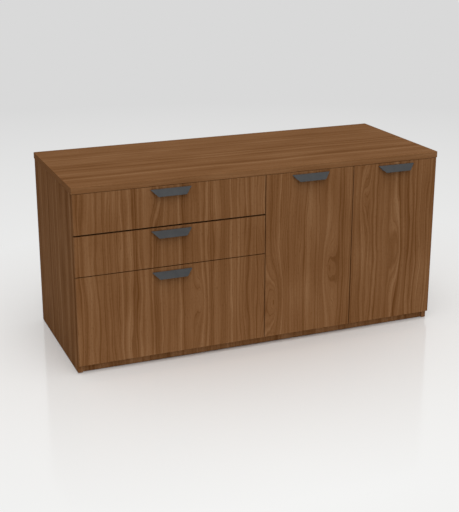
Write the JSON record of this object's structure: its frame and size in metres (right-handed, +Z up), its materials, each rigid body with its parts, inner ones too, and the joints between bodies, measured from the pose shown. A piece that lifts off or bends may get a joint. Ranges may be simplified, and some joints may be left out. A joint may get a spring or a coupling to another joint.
{
  "type": "office credenza",
  "caption": "Low office credenza with a bank of overlay drawers beside hinged doors on a recessed base, for keeping files and supplies under a flat worktop.",
  "frame": {"origin": "on the floor, under the middle of the overall box (pulls included)", "axes": "+X to the right seen from the front, +Y to the back, +Z up"},
  "size_m": [1.524, 0.628, 0.73],
  "materials": {
    "walnut_top": "satin walnut-grain laminate, grain along the length",
    "walnut_front": "satin walnut-grain laminate, grain upright",
    "walnut_panel": "satin walnut-grain laminate",
    "walnut_base": "satin walnut-grain laminate",
    "drawer_board": "pale laminated board",
    "charcoal_pull": "satin charcoal powder coat",
    "zinc_steel": "zinc-plated sheet",
    "hinge_steel": "nickel-plated pressed steel",
    "leveller_plastic": "moulded black"
  },
  "bodies": {
    "cabinet": {"top_panel": "walnut_top", "left_end_panel": "walnut_panel", "right_end_panel": "walnut_panel", "centre_divider": "walnut_panel", "back_panel": "walnut_panel", "cabinet_floor": "walnut_panel", "adjustable_shelf": "walnut_panel", "toe_kick_rail": "walnut_base", "leveller_front_left": "leveller_plastic", "leveller_front_right": "leveller_plastic", "leveller_back_left": "leveller_plastic", "leveller_back_right": "leveller_plastic", "top_drawer_left_slide_cabinet_member": "zinc_steel", "top_drawer_right_slide_cabinet_member": "zinc_steel", "middle_drawer_left_slide_cabinet_member": "zinc_steel", "middle_drawer_right_slide_cabinet_member": "zinc_steel", "file_drawer_left_slide_cabinet_member": "zinc_steel", "file_drawer_right_slide_cabinet_member": "zinc_steel", "left_door_lower_hinge_arm": "hinge_steel", "left_door_upper_hinge_arm": "hinge_steel", "right_door_lower_hinge_arm": "hinge_steel", "right_door_upper_hinge_arm": "hinge_steel"},
    "top_drawer": {"top_drawer_front": "walnut_front", "top_drawer_left_side": "drawer_board", "top_drawer_right_side": "drawer_board", "top_drawer_back": "drawer_board", "top_drawer_bottom": "drawer_board", "top_drawer_pull": "charcoal_pull", "top_drawer_left_slide_drawer_member": "zinc_steel", "top_drawer_right_slide_drawer_member": "zinc_steel"},
    "middle_drawer": {"middle_drawer_front": "walnut_front", "middle_drawer_left_side": "drawer_board", "middle_drawer_right_side": "drawer_board", "middle_drawer_back": "drawer_board", "middle_drawer_bottom": "drawer_board", "middle_drawer_pull": "charcoal_pull", "middle_drawer_left_slide_drawer_member": "zinc_steel", "middle_drawer_right_slide_drawer_member": "zinc_steel"},
    "file_drawer": {"file_drawer_front": "walnut_front", "file_drawer_left_side": "drawer_board", "file_drawer_right_side": "drawer_board", "file_drawer_back": "drawer_board", "file_drawer_bottom": "drawer_board", "file_drawer_pull": "charcoal_pull", "file_drawer_left_slide_drawer_member": "zinc_steel", "file_drawer_right_slide_drawer_member": "zinc_steel"},
    "file_slide_runners": {"file_drawer_left_slide_runner": "zinc_steel", "file_drawer_right_slide_runner": "zinc_steel"},
    "left_door_links": {"left_door_lower_hinge_link": "hinge_steel", "left_door_upper_hinge_link": "hinge_steel"},
    "left_door": {"left_door": "walnut_front", "left_door_pull": "charcoal_pull", "left_door_lower_hinge_cup": "hinge_steel", "left_door_upper_hinge_cup": "hinge_steel"},
    "right_door_links": {"right_door_lower_hinge_link": "hinge_steel", "right_door_upper_hinge_link": "hinge_steel"},
    "right_door": {"right_door": "walnut_front", "right_door_pull": "charcoal_pull", "right_door_lower_hinge_cup": "hinge_steel", "right_door_upper_hinge_cup": "hinge_steel"}
  },
  "joints": [
    {"name": "top_drawer_slide", "type": "slide", "parent": "cabinet", "child": "top_drawer", "axis": [0, -1, 0], "range_m": [0, 0.375]},
    {"name": "middle_drawer_slide", "type": "slide", "parent": "cabinet", "child": "middle_drawer", "axis": [0, -1, 0], "range_m": [0, 0.375]},
    {"name": "file_drawer_slide", "type": "slide", "parent": "cabinet", "child": "file_drawer", "axis": [0, -1, 0], "range_m": [0, 0.5]},
    {"name": "file_runner_slide", "type": "slide", "parent": "cabinet", "child": "file_slide_runners", "axis": [0, -1, 0], "range_m": [0, 0.25]},
    {"name": "left_door_link_swing", "type": "hinge", "parent": "cabinet", "child": "left_door_links", "pos_m": [0.0305, -0.27, 0.3698], "axis": [0, 0, -1], "range_deg": [-30, 0]},
    {"name": "left_door_swing", "type": "hinge", "parent": "left_door_links", "child": "left_door", "pos_m": [0.0105, -0.28, 0.3698], "axis": [0, 0, -1], "range_deg": [0, 120]},
    {"name": "right_door_link_swing", "type": "hinge", "parent": "cabinet", "child": "right_door_links", "pos_m": [0.729, -0.27, 0.3698], "axis": [0, 0, 1], "range_deg": [-30, 0]},
    {"name": "right_door_swing", "type": "hinge", "parent": "right_door_links", "child": "right_door", "pos_m": [0.749, -0.28, 0.3698], "axis": [0, 0, 1], "range_deg": [0, 120]}
  ],
  "couplings": [
    {"joint": "file_runner_slide", "follows": "file_drawer_slide", "ratio": 0.5},
    {"joint": "left_door_link_swing", "follows": "left_door_swing", "ratio": -0.25},
    {"joint": "right_door_link_swing", "follows": "right_door_swing", "ratio": -0.25}
  ]
}
